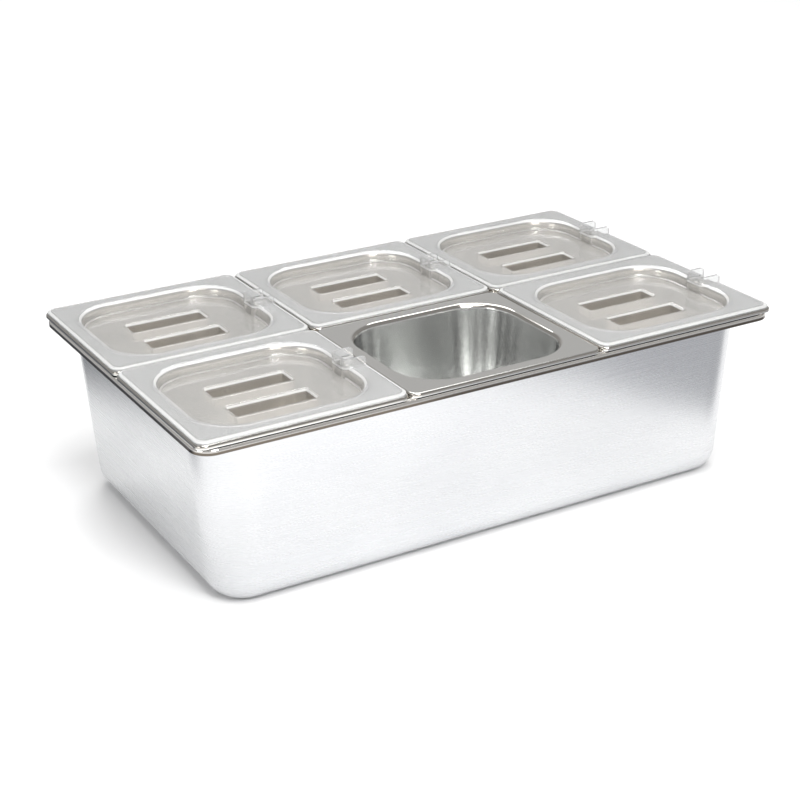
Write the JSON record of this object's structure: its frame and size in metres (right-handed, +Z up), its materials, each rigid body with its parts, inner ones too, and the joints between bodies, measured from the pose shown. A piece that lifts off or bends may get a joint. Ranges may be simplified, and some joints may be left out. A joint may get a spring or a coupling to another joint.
{
  "type": "ice serving tray",
  "caption": "Deep steel ice tank with small lift-out food pans hung on cross bars, under clear moulded lids with finger wells and spoon notches; the front middle pan is open.",
  "frame": {"origin": "centre of the footprint, on the surface that the tank stands on", "axes": "+X along the long side towards the lids' spoon notches, +Y from the open pan's side to the back, +Z up"},
  "size_m": [0.53, 0.325, 0.1633],
  "materials": {
    "tank_steel": "satin stainless sheet with a polished rim",
    "pan_steel": "bright stainless sheet",
    "bar_steel": "folded stainless sheet",
    "clear_lid": "clear moulded polycarbonate, glossy"
  },
  "bodies": {
    "root": {"tank": "tank_steel", "crossbar_left": "bar_steel", "crossbar_right": "bar_steel", "pan_front_left": "pan_steel", "pan_front_middle": "pan_steel", "pan_front_right": "pan_steel", "pan_back_left": "pan_steel", "pan_back_middle": "pan_steel", "pan_back_right": "pan_steel", "lid_front_left": "clear_lid", "lid_front_right": "clear_lid", "lid_back_left": "clear_lid", "lid_back_middle": "clear_lid", "lid_back_right": "clear_lid"}
  },
  "joints": []
}
